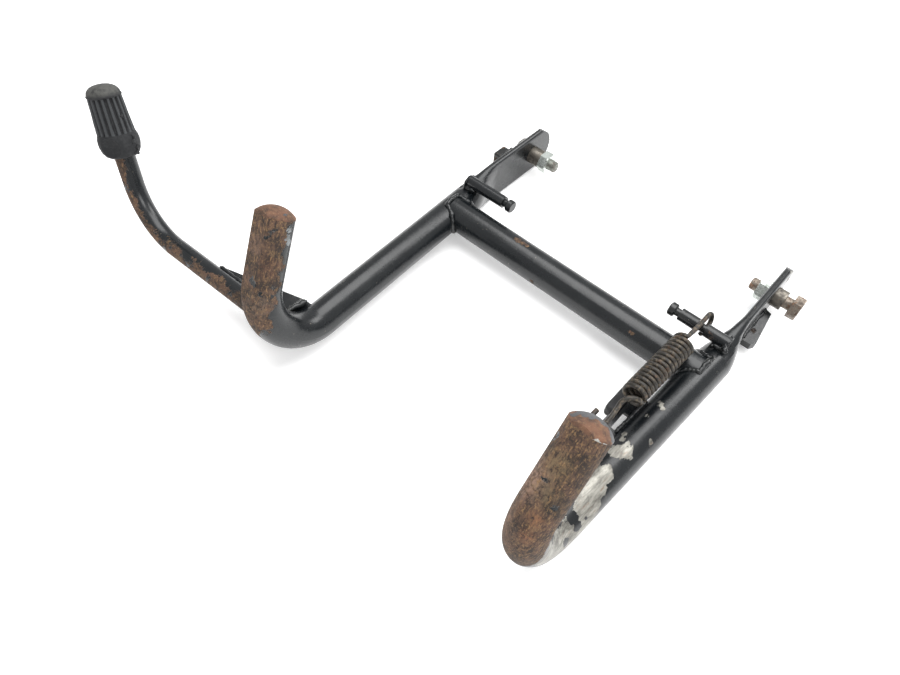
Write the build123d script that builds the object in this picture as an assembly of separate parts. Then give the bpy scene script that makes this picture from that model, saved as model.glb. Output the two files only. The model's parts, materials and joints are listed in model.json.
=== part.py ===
from build123d import *
import os
from math import asin, atan2, cos, degrees, radians, sin

# Motorcycle main stand, lying as it sits when stowed under the machine.
# X runs along the pivot axis (to the right), Y points forward, Z points up.
# The origin is the middle of the pivot axis.  All sizes are in millimetres.

# ---- driving dimensions -------------------------------------------------
# tube
tube_diameter = 27.2          # both legs and the cross tube
tube_wall = 2.8

# legs
ear_span = 248.0              # between the mid planes of the two ears
ear_thickness = 6.0           # the tube end is pressed flat to two walls
ear_height = 40.0
ear_slit = 0.4                # what is left of the bore between the two walls
ear_tip = 6.0                 # pivot axis to the centre of the rounded tip
ear_flat = 52.0               # pivot axis back to where the pressing ends
press_run = 42.0              # from the flat ear to the full round tube
press_steps = 4               # sections along the pressed run
ear_offset = 1.0              # how far the round tube lies inside its ear
leg_toe_in = 8.0              # how far a leg runs inwards on its way to the foot
leg_length = 264.5            # pivot axis to the start of the foot bend

# feet
bend_radius = 39.0            # on the tube axis
foot_flat = 11.6              # foot axis to the flat that stands on the ground
left_foot_turn = 125.0        # degrees
left_foot_straight = 46.5
left_foot_lean = 12.0         # degrees, outwards
right_foot_turn = 132.0
right_foot_straight = 50.5
right_foot_lean = -4.0        # degrees, so inwards
cap_thickness = 1.0
cap_crown = 6.0

# cross tube
cross_tube_back = 110.0       # pivot axis to the cross tube axis
cross_tube_height = 2.0

# spring posts
post_diameter = 10.0
post_neck_diameter = 6.5
post_head_diameter = 10.6
post_back = 86.0              # pivot axis to the post axis
post_bite = 0.7               # how deep a post sits in the top of its leg
post_outer_end = 2.0          # past the leg axis
post_reach = 38.0             # leg axis to the end of the plain shank
post_neck_length = 3.6
post_head_length = 5.5
post_head_chamfer = 0.9
hook_seat_width = 7.0         # second groove, on the right post only
hook_seat_offset = 16.5       # leg axis to the near side of that groove

# pivot sleeves, bolts and nuts
sleeve_diameter = 16.0
sleeve_bore = 10.4
right_sleeve_proud = 8.0      # out of the ear, on its outer side
left_sleeve_proud = 12.5      # out of the ear, on its inner side
sleeve_inset = 0.5            # and past the other face
sleeve_fit = 0.1              # radial running clearance in the ear
bolt_diameter = 10.0
hex_across_flats = 17.0
bolt_length = 35.0            # under the head
bolt_head_thickness = 7.5
nut_thickness = 8.0
thread_fit = 0.05             # radial
right_head_gap = 6.0          # the bolts are not done up tight
left_head_gap = 0.6
hex_chamfer = 1.1             # across the corners
hex_chamfer_drop = 0.66       # along the axis
bolt_end_chamfer = 1.0

# stop tab on the right ear
tab_thickness = 6.0
tab_front = 9.0               # behind the pivot axis
tab_rear = 51.0
tab_front_width = 6.0
tab_rear_width = 11.0
tab_drop = 10.0               # middle of the tab below the pivot axis
tab_front_slope = 3.0
tab_corner_length = 4.0       # the rear outer corner is cut off
tab_corner_width = 2.5

# stop lug on the left ear
lug_back = 34.0               # pivot axis to the middle of the lug
lug_height = 11.0             # middle of the lug above the pivot axis
lug_width = 15.0
lug_depth = 13.0
lug_proud = 9.0               # out from the ear
lug_rounding = 2.5

# foot lever
lever_diameter = 15.6
lever_back = 293.0            # pivot axis to the lever, at the leg
lever_height = 8.5
lever_sweep = 3.4             # degrees, backwards
lever_straight = 133.0        # leg axis to where the lever starts to bend
lever_bend_radius = 50.0
lever_turn = 73.0             # degrees
lever_plane = 77.0            # degrees from level, of the plane of the bend
lever_end = 69.0              # straight end that carries the rubber
gusset_thickness = 5.0
gusset_length = 74.0
gusset_width = 20.0
gusset_tip_width = 2.0

# pedal rubber
rubber_diameter = 24.2        # over the ribs, at the rim
rubber_taper = 1.5            # more radius at the foot of the ribs
rubber_cuff_diameter = 30.0
rubber_length = 53.0
rubber_cuff_length = 18.0
rubber_base_radius = 9.3      # flat lower face of the cuff
rubber_cuff_low = (13.95, 3.6)        # radius and height of two points on the cuff's round
rubber_cuff_middle = 9.9      # height of its widest place
rubber_cuff_high = (14.775, 14.4)
rubber_crown = 6.5
rubber_wall = 7.0             # over the end of the rod
rubber_rim = 0.5              # the rim stands out past the ribs
rubber_rim_width = 2.4
rubber_shoulder = 0.6         # from the grip's radius in to the dome
rubber_shoulder_height = 1.2
rubber_fit = 0.02
rib_count = 18
rib_depth = 1.6
rib_gap = 1.77                # width of one groove
rib_margin = 0.6              # from a groove's end to the cuff
rib_end_margin = 0.4          # and to the rim

# return spring
spring_diameter = 18.6
wire_diameter = 4.2
spring_turns = 16
spring_start = 110.5          # pivot axis to the first coil
spring_slant = 2.0            # degrees, lower end inwards
spring_rest = 0.3             # above the cross tube, and the loop off the post
coil_press = 1.02             # coils press against each other
loop_closing = 1.0            # the loop's end runs past the post axis
loop_length = 37.5            # first coil to the far end of the upper hook
hook_reach = 35.0             # last coil to the far end of the lower hook
hook_radius = 5.0
hook_tip = 5.0

# stop buffer inside the right leg
bracket_thickness = 3.0
bracket_height = 3.0
bracket_front = 157.0
bracket_length = 38.0
bracket_width = 13.5          # in from the leg tube
bracket_slot_width = 4.4
bracket_slot_length = 16.0
bracket_arm = 3.0
buffer_width = 9.0
buffer_height = 12.0
buffer_length = 36.0
buffer_front = 147.0
buffer_grip = 4.0             # how far the bracket enters the rubber
buffer_hole = 4.0
buffer_hole_depth = 3.6
buffer_hole_apart = 23.76
buffer_hole_offset = 0.9      # off the bar's middle, inwards
buffer_rounding = 2.7

# ---- worked out from them ------------------------------------------------
tube_radius = tube_diameter / 2
bore_radius = tube_radius - tube_wall
ear_x = ear_span / 2
root_y = -(ear_flat + press_run)
root = Vector(ear_x - ear_offset, root_y, 0)
bend_start = root + Vector(-leg_toe_in, -leg_length - root_y, 0)
leg_direction = (bend_start - root).normalized()
upright = Vector(0, 0, 1)
far = 2 * leg_length

os.makedirs("parts", exist_ok=True)


def leg_x(y):
    """Where the right leg axis is, at a distance y behind the pivot axis."""
    along = (-y - root.Y) / (bend_start.Y - root.Y)
    return root.X + along * (bend_start.X - root.X)


def handed(shape, side):
    """The right-hand shape, or its mirror image for the left side."""
    return shape if side > 0 else mirror(shape, about=Plane.YZ)


def rod_along_x(diameter, start, end, y, z):
    """A round bar along X, from start to end."""
    plane = Plane(origin=(start, y, z), x_dir=(0, 1, 0), z_dir=(1, 0, 0))
    return extrude(plane * Circle(diameter / 2), end - start)


def dome_middle(radius, start, rise):
    """A point half way along an arc that starts at that radius and is centred on the axis."""
    dome_radius = (radius**2 + rise**2) / (2 * rise)
    centre = start + rise - dome_radius
    angle = asin(radius / dome_radius)
    if rise > radius:
        angle = radians(180) - angle
    angle /= 2
    return (dome_radius * sin(angle), centre + dome_radius * cos(angle))


def hexagon_along_x(start, end):
    """A bolt head or nut with its corners turned off at the end face."""
    plane = Plane(origin=(start, 0, 0), x_dir=(0, 1, 0), z_dir=(1, 0, 0))
    corner_radius = hex_across_flats / 2 / cos(radians(30))
    body = extrude(plane * RegularPolygon(corner_radius, 6), end - start)
    turned = extrude(plane * Circle(corner_radius), end - start)
    rim = turned.edges().filter_by(GeomType.CIRCLE).sort_by(Axis.X)[-1 if end > start else 0]
    return body & chamfer(rim, hex_chamfer, hex_chamfer_drop)


# ---- legs ----------------------------------------------------------------
def foot_frame(lean):
    """The direction in which a foot rises, square to the leg."""
    tilt = Vector(sin(radians(lean)), 0, cos(radians(lean)))
    return (tilt - leg_direction * tilt.dot(leg_direction)).normalized()


def foot_line(turn, straight, lean):
    """The centre line of the round tube, its end point and its last direction."""
    rise = foot_frame(lean)
    centre = bend_start + rise * bend_radius

    def on_bend(angle):
        along = leg_direction * sin(radians(angle)) - rise * cos(radians(angle))
        return centre + along * bend_radius

    direction = leg_direction * cos(radians(turn)) + rise * sin(radians(turn))
    bend_end = on_bend(turn)
    foot_end = bend_end + direction * straight
    line = Line(root, bend_start)
    line += ThreePointArc(bend_start, on_bend(turn / 2), bend_end)
    line += Line(bend_end, foot_end)
    return line, foot_end, direction


def sole_normal(turn, lean):
    """Square to the foot, on the side that meets the ground."""
    rise = foot_frame(lean)
    return leg_direction * sin(radians(turn)) - rise * cos(radians(turn))


def swept(line, radius):
    """A round bar along the centre line of the leg."""
    section = Plane(origin=root, z_dir=leg_direction) * Circle(radius)
    return sweep(section, path=line)


def blended(low, high, share):
    """A value that share of the way from low to high."""
    return low + share * (high - low)


def squeezed(plane, thin, tall, radius, roundness):
    """A tube section on its way from flat (0) to round (1), tall along the plane's x."""
    half_flat = (tall - thin) / 2
    corner_x = blended(half_flat, radius * cos(radians(45)), roundness)
    corner_y = blended(thin / 2, radius * sin(radians(45)), roundness)
    end_x = blended(tall / 2, radius, roundness)
    side_y = blended(thin / 2, radius, roundness)
    corners = [(corner_x, -corner_y), (corner_x, corner_y), (-corner_x, corner_y), (-corner_x, -corner_y)]
    outline = ThreePointArc(corners[0], (end_x, 0), corners[1])
    if roundness > 0:
        outline += ThreePointArc(corners[1], (0, side_y), corners[2])
    else:
        outline += Line(corners[1], corners[2])
    outline += ThreePointArc(corners[2], (-end_x, 0), corners[3])
    if roundness > 0:
        outline += ThreePointArc(corners[3], (0, -side_y), corners[0])
    else:
        outline += Line(corners[3], corners[0])
    return plane * make_face(outline)


def pressed_end(thin, tall, radius, flat_end):
    """The flat ear and the run in which it turns into the round tube."""
    sections = []
    for step in range(press_steps + 1):
        share = step / press_steps
        roundness = share * share * (3 - 2 * share)
        origin = (blended(ear_x, root.X, share), -ear_flat - share * press_run, 0)
        direction = leg_direction if step == press_steps else (0, -1, 0)
        plane = Plane(origin=origin, x_dir=(0, 0, 1), z_dir=direction)
        sections.append(squeezed(plane, thin, tall, radius, roundness))
    run = loft(sections)
    flat = extrude(sections[0], -(ear_flat + flat_end))
    return run, flat


def build_leg(turn, straight, lean):
    """One leg of bent tube: returns the tube and the same shape without its bore."""
    line, foot_end, _ = foot_line(turn, straight, lean)
    sole = sole_normal(turn, lean)
    tip_end = ear_tip + ear_height / 2
    outer_run, outer_flat = pressed_end(ear_thickness, ear_height, tube_radius, tip_end)
    keep = Box(4 * ear_thickness, far, ear_height * 1.2, align=(Align.CENTER, Align.MAX, Align.CENTER))
    keep = Pos(ear_x, ear_tip, 0) * keep
    keep += Pos(ear_x, ear_tip, 0) * Rot(0, 90, 0) * Cylinder(ear_height / 2, 4 * ear_thickness)
    outer = swept(line, tube_radius) + outer_run + (outer_flat & keep)
    sole_plane = Plane(origin=foot_end + sole * foot_flat, z_dir=sole)
    outer -= extrude(sole_plane * Rectangle(far, far), tube_diameter)

    slit_height = ear_height - 2 * tube_wall
    inner_run, inner_flat = pressed_end(ear_slit, slit_height, bore_radius, tip_end + 1)
    inner = swept(line, bore_radius)
    inner -= extrude(sole_plane.offset(-tube_wall) * Rectangle(far, far), tube_diameter)
    tube = outer - inner - inner_run - inner_flat
    hole = rod_along_x(sleeve_diameter + 2 * sleeve_fit, ear_x - tube_diameter, ear_x + tube_diameter, 0, 0)
    tube -= hole
    return tube, outer


def build_cap(turn, straight, lean):
    """The crowned plate that closes a foot, with the same flat as the foot."""
    _, foot_end, direction = foot_line(turn, straight, lean)
    sole = sole_normal(turn, lean)
    plane = Plane(origin=foot_end, x_dir=sole, z_dir=direction)
    outline = Polyline((0, cap_thickness + cap_crown), (0, 0), (tube_radius, 0), (tube_radius, cap_thickness))
    outline += ThreePointArc(
        (tube_radius, cap_thickness),
        dome_middle(tube_radius, cap_thickness, cap_crown),
        (0, cap_thickness + cap_crown),
    )
    disc = plane * revolve(Plane.XZ * make_face(outline), Axis.Z)
    sole_plane = Plane(origin=foot_end + sole * foot_flat, z_dir=sole)
    return disc - extrude(sole_plane * Rectangle(far, far), tube_diameter)


left_foot = (left_foot_turn, left_foot_straight, left_foot_lean)
right_foot = (right_foot_turn, right_foot_straight, right_foot_lean)
left_tube, left_solid = [handed(shape, -1) for shape in build_leg(*left_foot)]
right_tube, right_solid = build_leg(*right_foot)
left_cap = handed(build_cap(*left_foot), -1)
right_cap = build_cap(*right_foot)


# ---- cross tube ----------------------------------------------------------
def build_cross_tube():
    """The tube between the legs, cut at both ends to their round sides."""
    reach = leg_x(cross_tube_back)
    tube = rod_along_x(tube_diameter, -reach, reach, -cross_tube_back, cross_tube_height)
    bore = rod_along_x(2 * bore_radius, -reach, reach, -cross_tube_back, cross_tube_height)
    return tube - bore - left_solid - right_solid


# ---- spring posts --------------------------------------------------------
def leg_top(back):
    """How high the top of a leg is, at a distance behind the pivot axis."""
    along = min(max((back - ear_flat) / press_run, 0), 1)
    return (ear_height + along * (tube_diameter - ear_height)) / 2


post_height = leg_top(post_back) + post_diameter / 2 - post_bite
post_axis_x = leg_x(post_back)


def build_post(with_hook_seat):
    """A turned post: shank, neck for the spring hook, and head."""
    y = -post_back
    shank_end = post_axis_x - post_reach
    neck_end = shank_end - post_neck_length
    head_end = neck_end - post_head_length
    outer_end = post_axis_x + post_outer_end
    shank = rod_along_x(post_diameter, shank_end, outer_end, y, post_height)
    neck = rod_along_x(post_neck_diameter, neck_end, shank_end, y, post_height)
    head = rod_along_x(post_head_diameter, head_end, neck_end, y, post_height)
    head = chamfer(head.edges().filter_by(GeomType.CIRCLE), post_head_chamfer)
    post = shank + neck + head
    if with_hook_seat:
        seat_start = post_axis_x - hook_seat_offset
        seat_end = seat_start - hook_seat_width
        ring = rod_along_x(2 * post_diameter, seat_end, seat_start, y, post_height)
        ring -= rod_along_x(post_neck_diameter, seat_end, seat_start, y, post_height)
        post -= ring
    return post


left_post = handed(build_post(False), -1) - left_solid
right_post = build_post(True) - right_solid


# ---- pivot sleeves, bolts and nuts ----------------------------------------
ear_inner = ear_x - ear_thickness / 2
ear_outer = ear_x + ear_thickness / 2


def build_sleeve(start, end):
    """A plain steel sleeve that turns in the ear."""
    return rod_along_x(sleeve_diameter, start, end, 0, 0) - rod_along_x(sleeve_bore, start, end, 0, 0)


def build_bolt(head_face):
    """A hexagon bolt with its head outside."""
    shank = rod_along_x(bolt_diameter, head_face - bolt_length, head_face, 0, 0)
    shank = chamfer(shank.edges().filter_by(GeomType.CIRCLE).sort_by(Axis.X)[0], bolt_end_chamfer)
    return shank + hexagon_along_x(head_face, head_face + bolt_head_thickness)


def build_nut(outer_face):
    """A hexagon nut, seen from inside the stand."""
    inner_face = outer_face - nut_thickness
    bore = rod_along_x(bolt_diameter + 2 * thread_fit, inner_face, outer_face, 0, 0)
    return hexagon_along_x(outer_face, inner_face) - bore


# The right sleeve stands out of its ear, the left one stands in.
right_sleeve = build_sleeve(ear_inner - sleeve_inset, ear_outer + right_sleeve_proud)
right_nut_face = ear_inner - sleeve_inset
right_nut = build_nut(right_nut_face)
right_bolt = build_bolt(ear_outer + right_sleeve_proud + right_head_gap)

left_sleeve = handed(build_sleeve(ear_inner - left_sleeve_proud, ear_outer + sleeve_inset), -1)
left_nut_face = ear_inner - left_sleeve_proud
left_nut = handed(build_nut(left_nut_face), -1)
left_bolt = handed(build_bolt(ear_outer + sleeve_inset + left_head_gap), -1)


# ---- stop tab --------------------------------------------------------------
def build_stop_tab():
    """A plate on the outside of the right ear that meets the machine's frame."""
    outline = Polyline(
        (ear_x, -tab_front),
        (ear_outer + tab_front_width, -tab_front - tab_front_slope),
        (ear_outer + tab_rear_width, -tab_rear + tab_corner_length),
        (ear_outer + tab_rear_width - tab_corner_width, -tab_rear),
        (ear_x, -tab_rear),
        close=True,
    )
    plate = Pos(0, 0, -tab_drop) * extrude(make_face(outline), tab_thickness / 2, both=True)
    return plate - right_solid


def build_stop_lug():
    """A rounded block on the outside of the left ear."""
    depth = lug_proud + ear_thickness / 2
    block = Box(depth, lug_width, lug_depth, align=(Align.MIN, Align.CENTER, Align.CENTER))
    block = fillet(block.edges().filter_by(Axis.X) + block.faces().sort_by(Axis.X)[-1].edges(), lug_rounding)
    block = Pos(ear_x, -lug_back, lug_height) * block
    return handed(block, -1) - left_solid


# ---- foot lever, its gusset and the pedal rubber ---------------------------
lever_out = Vector(-cos(radians(lever_sweep)), -sin(radians(lever_sweep)), 0)
lever_front = Vector(-sin(radians(lever_sweep)), cos(radians(lever_sweep)), 0)
lever_rise = lever_front * cos(radians(lever_plane)) + upright * sin(radians(lever_plane))
lever_root = Vector(-bend_start.X, -lever_back, lever_height)
lever_bend = lever_root + lever_out * lever_straight
lever_centre = lever_bend + lever_rise * lever_bend_radius


def on_lever_bend(angle):
    """A point on the bend of the lever."""
    along = lever_out * sin(radians(angle)) - lever_rise * cos(radians(angle))
    return lever_centre + along * lever_bend_radius


lever_tip_direction = lever_out * cos(radians(lever_turn)) + lever_rise * sin(radians(lever_turn))
lever_bend_end = on_lever_bend(lever_turn)
lever_tip = lever_bend_end + lever_tip_direction * lever_end


def build_lever():
    """A round bar that leaves the side of the left foot bend and turns up."""
    line = Line(lever_root, lever_bend)
    line += ThreePointArc(lever_bend, on_lever_bend(lever_turn / 2), lever_bend_end)
    line += Line(lever_bend_end, lever_tip)
    section = Plane(origin=lever_root, z_dir=lever_out) * Circle(lever_diameter / 2)
    return sweep(section, path=line) - left_solid


def build_gusset():
    """A plate in the corner between the lever and the left leg."""
    rod_side = lever_diameter / 2
    tip = tube_radius + gusset_length
    outline = Polyline(
        (0, 0),
        (tip, rod_side - gusset_tip_width / 2),
        (tip, rod_side + gusset_tip_width / 2),
        (tube_radius, rod_side + gusset_width),
        (0, rod_side + gusset_width),
        close=True,
    )
    plane = Plane(origin=lever_root, x_dir=lever_out, z_dir=lever_out.cross(lever_front))
    plate = extrude(plane * make_face(outline), gusset_thickness / 2, both=True)
    bar_plane = Plane(origin=lever_root, z_dir=lever_out)
    bar = extrude(bar_plane * Circle(rod_side), 2 * tip, both=True)
    return plate - bar - left_solid


def build_rubber():
    """The moulded sleeve on the lever: cuff, ribbed grip, rim and domed end."""
    bottom = lever_tip + lever_tip_direction * (rubber_wall - rubber_length)
    axis_plane = Plane(origin=bottom, x_dir=lever_out.cross(lever_rise), z_dir=lever_tip_direction)
    grip = rubber_diameter / 2
    cuff = rubber_cuff_diameter / 2
    crown_start = rubber_length - rubber_crown
    rim_start = crown_start - rubber_rim_width
    dome_radius = grip - rubber_shoulder
    dome_height = crown_start + rubber_shoulder_height
    cuff_point = (cuff, rubber_cuff_middle)
    profile = make_face(
        Line((0, 0), (rubber_base_radius, 0))
        + ThreePointArc((rubber_base_radius, 0), rubber_cuff_low, cuff_point)
        + ThreePointArc(cuff_point, rubber_cuff_high, (grip + rubber_taper, rubber_cuff_length))
        + Polyline(
            (grip + rubber_taper, rubber_cuff_length),
            (grip, rim_start),
            (grip + rubber_rim, rim_start),
            (grip + rubber_rim, crown_start),
            (dome_radius, dome_height),
        )
        + ThreePointArc(
            (dome_radius, dome_height),
            dome_middle(dome_radius, dome_height, rubber_crown - rubber_shoulder_height),
            (0, rubber_length),
        )
        + Line((0, rubber_length), (0, 0))
    )
    body = revolve(Plane.XZ * profile, Axis.Z)
    pitch = 360 / rib_count
    groove_length = rim_start - rubber_cuff_length - rib_margin - rib_end_margin
    groove = Box(rib_depth * 2, rib_gap, groove_length, align=(Align.CENTER, Align.CENTER, Align.MIN))
    lean = Rot(0, -degrees(atan2(rubber_taper, groove_length)), 0)
    groove = Pos(grip + rubber_taper, 0, rubber_cuff_length + rib_margin) * lean * groove
    for index in range(rib_count):
        body -= Rot(0, 0, index * pitch) * groove
    socket = Cylinder(lever_diameter / 2 + rubber_fit, rubber_length - rubber_wall,
                      align=(Align.CENTER, Align.CENTER, Align.MIN))
    return axis_plane * (body - socket)


# ---- return spring ---------------------------------------------------------
wire_radius = wire_diameter / 2
coil_radius = (spring_diameter - wire_diameter) / 2
spring_length = spring_turns * wire_diameter
spring_x = post_axis_x - hook_seat_offset - hook_seat_width / 2
cross_top = cross_tube_height + tube_radius
spring_z = cross_top + spring_rest + spring_diameter / 2


def build_spring():
    """A close-wound tension spring: coils side by side, a loop and a long hook."""
    start_y = -spring_start
    end_y = start_y - spring_length
    coils = None
    for turn in range(spring_turns):
        y = start_y - wire_radius - turn * wire_diameter
        plane = Plane(origin=(spring_x, y, spring_z), x_dir=(1, 0, 0), z_dir=(0, 1, 0))
        ring = plane * Torus(coil_radius, wire_radius * coil_press)
        coils = ring if coils is None else coils + ring
    loop_radius = post_neck_diameter / 2 + spring_rest + wire_radius
    top_z = post_height + loop_radius
    loop_y = start_y + loop_length - loop_radius - wire_radius
    low_z = post_height - loop_radius
    loop_start = (spring_x, start_y - wire_diameter, top_z)
    loop_line = Line(loop_start, (spring_x, loop_y, top_z))
    loop_line += ThreePointArc(
        (spring_x, loop_y, top_z),
        (spring_x, loop_y + loop_radius, post_height),
        (spring_x, loop_y, low_z),
    )
    loop_end = -post_back - loop_closing
    loop_line += Line((spring_x, loop_y, low_z), (spring_x, loop_end, low_z))
    loop_section = Plane(origin=loop_start, z_dir=(0, 1, 0)) * Circle(wire_radius)
    loop = sweep(loop_section, path=loop_line)
    hook_y = end_y - hook_reach + hook_radius + wire_radius
    hook_start = (spring_x, end_y + wire_diameter, spring_z)
    hook_line = Line(hook_start, (spring_x, hook_y, spring_z))
    hook_line += ThreePointArc(
        (spring_x, hook_y, spring_z),
        (spring_x - hook_radius, hook_y - hook_radius, spring_z),
        (spring_x - 2 * hook_radius, hook_y, spring_z),
    )
    tip = (spring_x - 2 * hook_radius, hook_y + hook_tip, spring_z)
    hook_line += Line((spring_x - 2 * hook_radius, hook_y, spring_z), tip)
    hook = sweep(Plane(origin=hook_start, z_dir=(0, -1, 0)) * Circle(wire_radius), path=hook_line)
    # the wire crosses each end coil on its way to the middle of the spring
    bridge_top = Pos(spring_x, start_y - wire_diameter, spring_z + coil_radius / 2) * Cylinder(
        wire_radius, coil_radius + wire_radius)
    bridge_low = Pos(spring_x, end_y + wire_diameter, spring_z + coil_radius / 2) * Cylinder(
        wire_radius, coil_radius + wire_radius)
    spring = coils + loop + hook + bridge_top + bridge_low
    return spring.rotate(Axis((spring_x, -post_back, 0), (0, 0, 1)), -spring_slant)


# ---- stop buffer -----------------------------------------------------------
def build_bracket():
    """A slotted plate on the inner side of the right leg that holds the buffer."""
    leg_side = leg_x(bracket_front)
    inner_x = leg_side - tube_radius - bracket_width
    rear = bracket_front + bracket_length
    plate = Pos((inner_x + leg_side) / 2, -(bracket_front + rear) / 2, bracket_height) * Box(
        leg_side - inner_x, bracket_length, bracket_thickness)
    slot_x = inner_x + bracket_arm + buffer_grip + bracket_slot_width / 2
    slot = Pos(slot_x, -rear + bracket_arm + bracket_slot_length / 2, bracket_height) * Box(
        bracket_slot_width, bracket_slot_length, bracket_thickness * 2)
    return plate - slot - right_solid


def build_buffer():
    """A moulded rubber bar pressed onto the edge of its bracket."""
    inner_x = leg_x(bracket_front) - tube_radius - bracket_width
    centre_x = inner_x + buffer_grip - buffer_width / 2
    middle_y = -(buffer_front + buffer_length / 2)
    bar = Pos(centre_x, middle_y, bracket_height) * Box(buffer_width, buffer_length, buffer_height)
    bar = fillet(bar.edges(), buffer_rounding)
    rear = bracket_front + bracket_length
    slot = Pos(inner_x + buffer_width, -(bracket_front + rear) / 2, bracket_height) * Box(
        2 * buffer_width, bracket_length, bracket_thickness)
    hole = Cylinder(buffer_hole / 2, 2 * buffer_hole_depth)
    top = bracket_height + buffer_height / 2
    for side in (-1, 1):
        bar -= Pos(centre_x - buffer_hole_offset, middle_y + side * buffer_hole_apart / 2, top) * hole
    return bar - slot


pieces = {
    "left_leg": left_tube,
    "right_leg": right_tube,
    "left_foot_cap": left_cap,
    "right_foot_cap": right_cap,
    "cross_tube": build_cross_tube(),
    "left_spring_post": left_post,
    "right_spring_post": right_post,
    "left_pivot_sleeve": left_sleeve,
    "right_pivot_sleeve": right_sleeve,
    "left_pivot_bolt": left_bolt,
    "right_pivot_bolt": right_bolt,
    "left_pivot_nut": left_nut,
    "right_pivot_nut": right_nut,
    "right_stop_tab": build_stop_tab(),
    "left_stop_lug": build_stop_lug(),
    "foot_lever": build_lever(),
    "lever_gusset": build_gusset(),
    "pedal_rubber": build_rubber(),
    "return_spring": build_spring(),
    "buffer_bracket": build_bracket(),
    "rubber_buffer": build_buffer(),
}

for name, piece in pieces.items():
    export_step(piece, f"parts/{name}.step")
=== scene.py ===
"""Looks of a used motorcycle main stand: worn black paint, rusty feet, spring, welds and rubber."""

import json
import logging
import math
from dataclasses import dataclass
from enum import Enum

import bpy
from mathutils import Matrix, Vector, noise


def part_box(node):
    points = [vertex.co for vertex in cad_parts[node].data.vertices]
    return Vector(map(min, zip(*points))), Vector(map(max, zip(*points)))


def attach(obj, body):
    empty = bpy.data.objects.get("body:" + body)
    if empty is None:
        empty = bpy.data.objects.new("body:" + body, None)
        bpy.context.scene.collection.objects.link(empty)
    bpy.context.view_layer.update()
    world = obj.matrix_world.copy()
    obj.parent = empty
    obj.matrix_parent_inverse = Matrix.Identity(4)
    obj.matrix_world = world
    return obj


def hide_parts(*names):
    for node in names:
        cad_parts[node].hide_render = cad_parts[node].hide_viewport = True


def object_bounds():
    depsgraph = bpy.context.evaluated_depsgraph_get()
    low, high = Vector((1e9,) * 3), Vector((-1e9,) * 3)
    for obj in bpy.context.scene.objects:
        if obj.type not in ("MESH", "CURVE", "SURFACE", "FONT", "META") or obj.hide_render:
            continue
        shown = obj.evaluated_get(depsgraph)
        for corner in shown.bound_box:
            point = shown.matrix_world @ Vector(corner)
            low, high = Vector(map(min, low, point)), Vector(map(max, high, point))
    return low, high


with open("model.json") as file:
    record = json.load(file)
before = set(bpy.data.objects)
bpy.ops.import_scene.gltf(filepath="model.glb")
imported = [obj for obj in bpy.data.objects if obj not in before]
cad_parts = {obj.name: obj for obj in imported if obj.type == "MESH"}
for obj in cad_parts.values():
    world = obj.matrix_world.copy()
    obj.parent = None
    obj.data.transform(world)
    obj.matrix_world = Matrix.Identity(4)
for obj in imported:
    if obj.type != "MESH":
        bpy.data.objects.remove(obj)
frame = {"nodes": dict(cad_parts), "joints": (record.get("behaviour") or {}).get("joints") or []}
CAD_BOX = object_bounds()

LOG = logging.getLogger("main_stand")
MM = 0.001


class Body(Enum):
    """The rigid bodies that pieces ride on."""

    STAND = "stand"
    SPRING = "spring"


class Slot(Enum):
    """The record's material slots that new pieces take their finish from."""

    PAINT = "frame_paint"
    SPRING = "spring_steel"
    PEDAL = "pedal_rubber"
    BUFFER = "buffer_rubber"


# ---- small helpers ---------------------------------------------------------
def mm(x: float, y: float, z: float) -> Vector:
    """A point given in millimetres, in metres."""
    return Vector((x, y, z)) * MM


def linear(colour: str) -> tuple[float, float, float, float]:
    """A colour from sRGB hex to linear.

    Args:
        colour: six hex digits after a hash sign.

    Returns:
        Red, green, blue and alpha, in linear light.
    """
    parts = [int(colour[i : i + 2], 16) / 255 for i in (1, 3, 5)]
    low = [c / 12.92 if c <= 0.04045 else ((c + 0.055) / 1.055) ** 2.4 for c in parts]
    return (*low, 1.0)


Socket = bpy.types.NodeSocket
Output = Socket | bpy.types.Node
Feed = Output | float | tuple | str


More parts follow.
